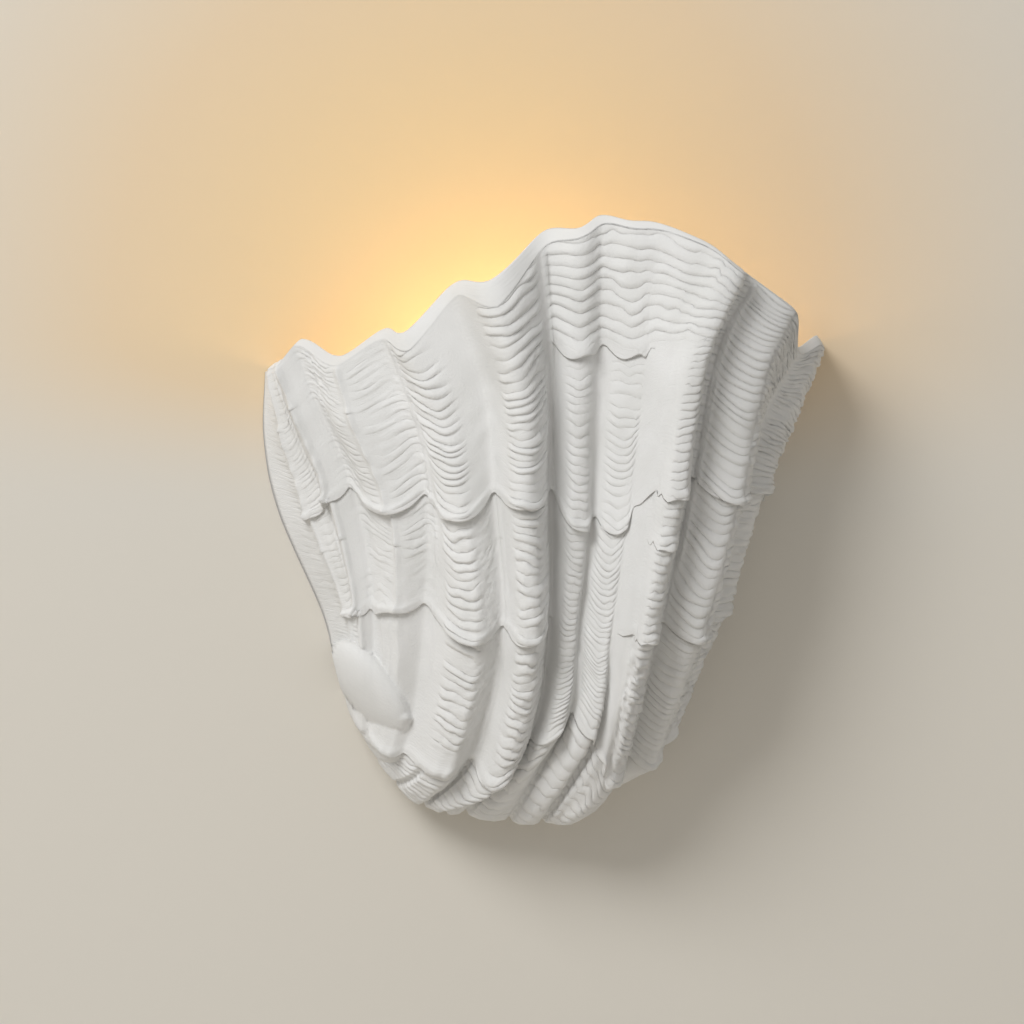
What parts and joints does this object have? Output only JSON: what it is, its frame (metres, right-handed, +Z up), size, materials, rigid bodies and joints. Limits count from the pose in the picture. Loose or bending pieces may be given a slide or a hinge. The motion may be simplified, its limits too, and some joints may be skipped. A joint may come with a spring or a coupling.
{
  "type": "shell wall sconce",
  "caption": "Plaster wall uplighter shaped as a fluted clam half shell, hung on a steel wall plate that carries one upright screw-cap bulb.",
  "frame": {"origin": "middle of the wall plate, on the wall", "axes": "+Z up, +Y into the wall, +X to the right as seen from the room"},
  "size_m": [0.3401, 0.1258, 0.3661],
  "materials": {
    "plaster": "cast gypsum plaster, matte white, unpainted",
    "brass": "machined brass",
    "zinc_steel": "zinc plated steel",
    "painted_steel": "white powder coat on steel sheet",
    "grommet_rubber": "black rubber",
    "holder_plastic": "white thermoset lampholder moulding",
    "porcelain": "unglazed porcelain",
    "solder": "tinned metal",
    "bulb_black": "black insulating vitrite",
    "nickel": "nickel plated brass sheet",
    "bulb_plastic": "white lamp housing moulding",
    "board": "white solder mask on an aluminium board with yellow phosphor chips",
    "opal": "opal diffuser, emissive warm white 2700 K",
    "block_plastic": "natural polyamide terminal block",
    "lead_green": "green insulated lead",
    "lead_white": "white insulated lead",
    "lead_black": "black insulated lead"
  },
  "bodies": {
    "wall_plate": {"wall_plate": "painted_steel", "hanging_studs": "zinc_steel", "cable_grommet": "grommet_rubber", "holder_bracket": "zinc_steel", "bracket_screws": "zinc_steel", "nipple": "zinc_steel", "lock_washer": "zinc_steel", "nipple_nut": "zinc_steel", "lampholder_cap": "holder_plastic", "lampholder_insulator": "porcelain", "holder_terminals": "brass", "lampholder_sleeve": "holder_plastic", "lampholder_screw_shell": "brass", "centre_contact": "brass", "terminal_block": "block_plastic", "block_screws": "zinc_steel", "terminal_screws": "brass", "earth_eyelet": "solder", "earth_screw": "brass", "earth_lead": "lead_green", "neutral_lead": "lead_white", "live_lead": "lead_black"},
    "shell": {"plaster_shell": "plaster", "threaded_inserts": "brass", "hanging_strap": "zinc_steel", "strap_screws": "zinc_steel"},
    "bulb_tip": {"bulb_tip": "solder"},
    "bulb": {"bulb_insulator": "bulb_black", "bulb_cap": "nickel", "bulb_collar": "bulb_plastic", "led_board": "board", "bulb_globe": "opal"}
  },
  "joints": [
    {"name": "shell_lift", "type": "slide", "parent": "wall_plate", "child": "shell", "axis": [0, 0, 1], "range_m": [0, 0.012]},
    {"name": "bulb_rise", "type": "slide", "parent": "wall_plate", "child": "bulb_tip", "axis": [0, 0, 1], "range_m": [0, 0.01815]},
    {"name": "bulb_unscrew", "type": "hinge", "parent": "bulb_tip", "child": "bulb", "pos_m": [0, -0.042, 0], "axis": [0, 0, 1], "range_deg": [0, 1800]}
  ],
  "couplings": [
    {"joint": "bulb_rise", "follows": "bulb_unscrew", "m_per_rad": 0.00057757}
  ]
}
